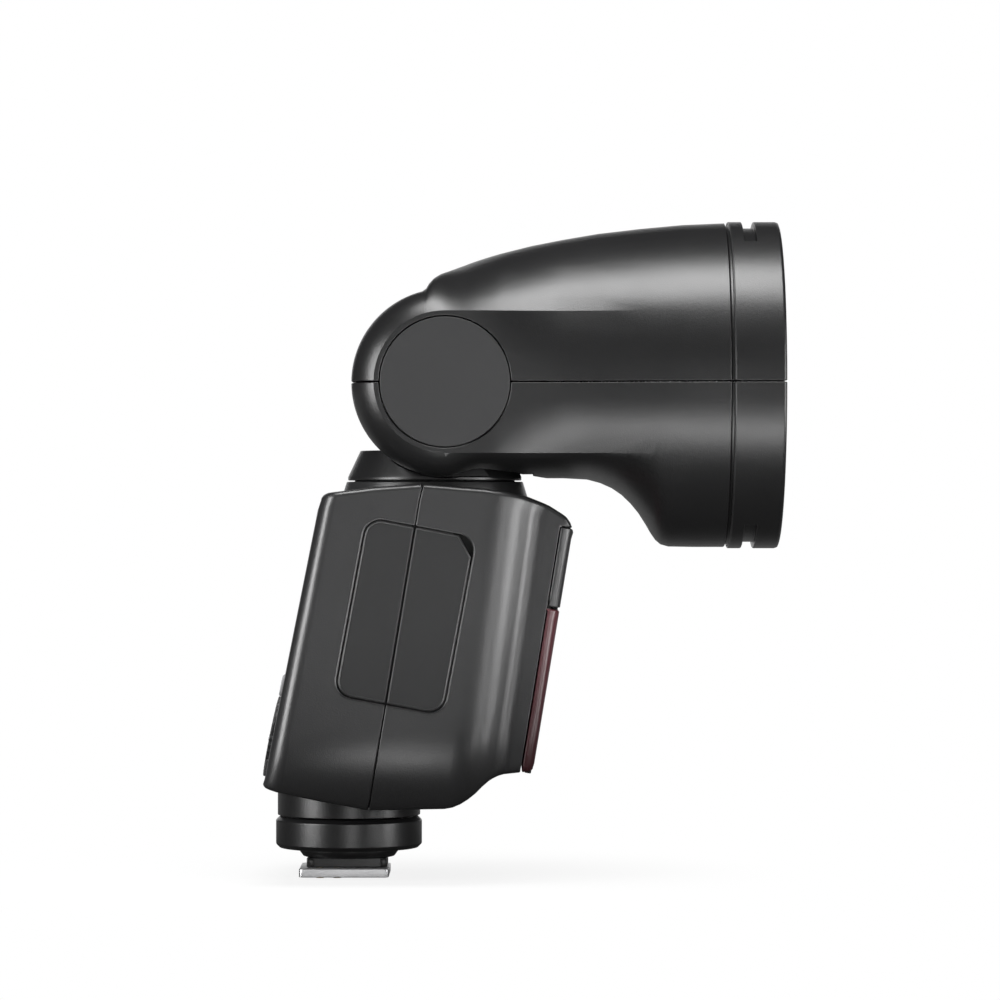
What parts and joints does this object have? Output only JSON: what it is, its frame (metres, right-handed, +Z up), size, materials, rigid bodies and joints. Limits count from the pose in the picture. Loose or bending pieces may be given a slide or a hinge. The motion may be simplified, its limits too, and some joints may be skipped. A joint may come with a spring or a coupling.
{
  "type": "speedlight flash",
  "caption": "Round-head speedlight flash: the head tilts and pans on a turret over a leaning body with screen, keys, dial and side battery, and a lock ring clamps its shoe foot.",
  "frame": {"origin": "underside of the shoe plate, under the axis of the lock ring", "axes": "+X the way the head points, +Y the viewer's left, +Z up out of the shoe"},
  "size_m": [0.1198, 0.076, 0.1525],
  "materials": {
    "black_shell": "fine-textured semi-matte",
    "dark_panel": "flat matte",
    "key_grey": "matte",
    "red_window": "glossy dark red",
    "smoke_screen": "glossy",
    "clear_lens": "clear",
    "tube_glass": "clear",
    "reflector": "bright",
    "steel": "satin",
    "contact_brass": "satin",
    "inner_plastic": "matte",
    "board": "satin"
  },
  "bodies": {
    "body": {"body_rear_shell": "black_shell", "body_front_shell": "black_shell", "body_collar": "black_shell", "side_panel_front": "dark_panel", "side_panel_rear": "dark_panel", "front_cover": "dark_panel", "red_window": "red_window", "assist_lamp": "clear_lens", "screen_window": "smoke_screen", "screen_module": "inner_plastic", "key_board": "board", "main_board": "board", "main_capacitor": "inner_plastic", "battery_bay": "inner_plastic", "battery_terminal": "contact_brass", "foot_base": "black_shell", "shoe_block": "black_shell", "shoe_plate": "steel"},
    "turret": {"turret": "black_shell", "pan_retainer": "steel"},
    "head": {"head_upper_shell": "black_shell", "head_lower_shell": "black_shell", "hinge_cap_right": "dark_panel", "hinge_cap_left": "dark_panel", "tilt_axle": "steel", "lens_ring": "black_shell", "front_lens": "clear_lens", "lamp_frame": "inner_plastic", "guide_rod_right": "steel", "guide_rod_left": "steel", "zoom_motor": "inner_plastic", "modelling_lamp": "board"},
    "zoom": {"zoom_carriage": "inner_plastic", "reflector": "reflector", "flash_tube": "tube_glass"},
    "lead_screw": {"lead_screw": "steel"},
    "lock_ring": {"lock_ring": "black_shell"},
    "lock_pin": {"lock_pin": "steel"},
    "select_dial": {"select_dial": "dark_panel"},
    "power_switch": {"power_switch": "dark_panel"},
    "battery_pack": {"battery_pack": "dark_panel"},
    "battery_latch": {"battery_latch": "key_grey"},
    "function_button_1": {"function_button_1": "key_grey"},
    "function_button_2": {"function_button_2": "key_grey"},
    "function_button_3": {"function_button_3": "key_grey"},
    "function_button_4": {"function_button_4": "key_grey"},
    "mode_button": {"mode_button": "dark_panel"},
    "test_button": {"test_button": "dark_panel"},
    "menu_button": {"menu_button": "dark_panel"},
    "set_button": {"set_button": "key_grey"},
    "shoe_contact_1": {"shoe_contact_1": "contact_brass"},
    "shoe_contact_2": {"shoe_contact_2": "contact_brass"},
    "shoe_contact_3": {"shoe_contact_3": "contact_brass"},
    "shoe_contact_4": {"shoe_contact_4": "contact_brass"},
    "shoe_contact_5": {"shoe_contact_5": "contact_brass"}
  },
  "joints": [
    {"name": "head_pan", "type": "hinge", "parent": "body", "child": "turret", "pos_m": [0.02, 0, 0.0915], "axis": [0, 0, 1], "range_deg": [-165, 165]},
    {"name": "head_tilt", "type": "hinge", "parent": "turret", "child": "head", "pos_m": [0.02275, 0, 0.114], "axis": [0, -1, 0], "range_deg": [-7, 120]},
    {"name": "zoom_slide", "type": "slide", "parent": "head", "child": "zoom", "axis": [1, 0, 0], "range_m": [0, 0.014]},
    {"name": "lead_screw_turn", "type": "hinge", "parent": "head", "child": "lead_screw", "pos_m": [0.0486, 0, 0.1415], "axis": [1, 0, 0], "range_deg": [0, 1261]},
    {"name": "lock_ring_turn", "type": "hinge", "parent": "body", "child": "lock_ring", "pos_m": [0, 0, 0.0064], "axis": [0, 0, 1], "range_deg": [0, 75]},
    {"name": "lock_pin_slide", "type": "slide", "parent": "body", "child": "lock_pin", "axis": [0, 0, -1], "range_m": [0, 0.0016]},
    {"name": "dial_turn", "type": "hinge", "parent": "body", "child": "select_dial", "pos_m": [-0.0167, 0, 0.03195], "axis": [-0.9808, 0, 0.195], "continuous": true},
    {"name": "switch_slide", "type": "slide", "parent": "body", "child": "power_switch", "axis": [0.195, 0, 0.9808], "range_m": [0, 0.003]},
    {"name": "battery_slide", "type": "slide", "parent": "body", "child": "battery_pack", "axis": [0, 1, 0], "range_m": [0, 0.055]},
    {"name": "latch_press", "type": "slide", "parent": "body", "child": "battery_latch", "axis": [0, -1, 0], "range_m": [0, 0.001], "stiffness_N_per_m": 600, "springref_m": -0.0006},
    {"name": "function_button_1_press", "type": "slide", "parent": "body", "child": "function_button_1", "axis": [0.9808, 0, -0.195], "range_m": [0, 0.0008], "stiffness_N_per_m": 700, "springref_m": -0.0006},
    {"name": "function_button_2_press", "type": "slide", "parent": "body", "child": "function_button_2", "axis": [0.9808, 0, -0.195], "range_m": [0, 0.0008], "stiffness_N_per_m": 700, "springref_m": -0.0006},
    {"name": "function_button_3_press", "type": "slide", "parent": "body", "child": "function_button_3", "axis": [0.9808, 0, -0.195], "range_m": [0, 0.0008], "stiffness_N_per_m": 700, "springref_m": -0.0006},
    {"name": "function_button_4_press", "type": "slide", "parent": "body", "child": "function_button_4", "axis": [0.9808, 0, -0.195], "range_m": [0, 0.0008], "stiffness_N_per_m": 700, "springref_m": -0.0006},
    {"name": "mode_button_press", "type": "slide", "parent": "body", "child": "mode_button", "axis": [0.9808, 0, -0.195], "range_m": [0, 0.0008], "stiffness_N_per_m": 700, "springref_m": -0.0006},
    {"name": "test_button_press", "type": "slide", "parent": "body", "child": "test_button", "axis": [0.9808, 0, -0.195], "range_m": [0, 0.0008], "stiffness_N_per_m": 700, "springref_m": -0.0006},
    {"name": "menu_button_press", "type": "slide", "parent": "body", "child": "menu_button", "axis": [0.9808, 0, -0.195], "range_m": [0, 0.0008], "stiffness_N_per_m": 700, "springref_m": -0.0006},
    {"name": "set_button_press", "type": "slide", "parent": "body", "child": "set_button", "axis": [0.9808, 0, -0.195], "range_m": [0, 0.0008], "stiffness_N_per_m": 700, "springref_m": -0.0006},
    {"name": "shoe_contact_1_press", "type": "slide", "parent": "body", "child": "shoe_contact_1", "axis": [0, 0, 1], "range_m": [0, 0.0005], "stiffness_N_per_m": 500, "springref_m": -0.0006},
    {"name": "shoe_contact_2_press", "type": "slide", "parent": "body", "child": "shoe_contact_2", "axis": [0, 0, 1], "range_m": [0, 0.0005], "stiffness_N_per_m": 500, "springref_m": -0.0006},
    {"name": "shoe_contact_3_press", "type": "slide", "parent": "body", "child": "shoe_contact_3", "axis": [0, 0, 1], "range_m": [0, 0.0005], "stiffness_N_per_m": 500, "springref_m": -0.0006},
    {"name": "shoe_contact_4_press", "type": "slide", "parent": "body", "child": "shoe_contact_4", "axis": [0, 0, 1], "range_m": [0, 0.0005], "stiffness_N_per_m": 500, "springref_m": -0.0006},
    {"name": "shoe_contact_5_press", "type": "slide", "parent": "body", "child": "shoe_contact_5", "axis": [0, 0, 1], "range_m": [0, 0.0005], "stiffness_N_per_m": 500, "springref_m": -0.0006}
  ],
  "couplings": [
    {"joint": "lead_screw_turn", "follows": "zoom_slide", "rad_per_m": 1570.8},
    {"joint": "lock_pin_slide", "follows": "lock_ring_turn", "m_per_rad": 0.001222}
  ]
}
